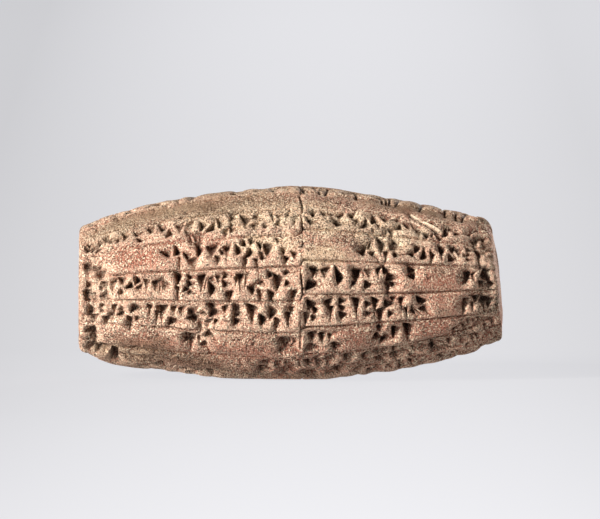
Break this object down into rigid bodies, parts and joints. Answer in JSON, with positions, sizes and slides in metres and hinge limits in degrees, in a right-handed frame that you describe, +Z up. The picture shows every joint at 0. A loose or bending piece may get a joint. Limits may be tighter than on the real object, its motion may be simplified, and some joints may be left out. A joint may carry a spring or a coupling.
{
  "type": "cuneiform cylinder",
  "caption": "Solid clay barrel cylinder with two columns of ruled rows of wedge strokes, worn and chipped, lying on a small flat under its belly.",
  "frame": {"origin": "middle of the barrel's length, on the small flat it rests on, under its axis", "axes": "+X along the barrel towards its narrower right end, +Z up, and the written front faces -Y"},
  "size_m": [0.112, 0.0519, 0.0506],
  "materials": {
    "clay": "matte"
  },
  "bodies": {
    "root": {"clay_barrel": "clay"}
  },
  "joints": []
}
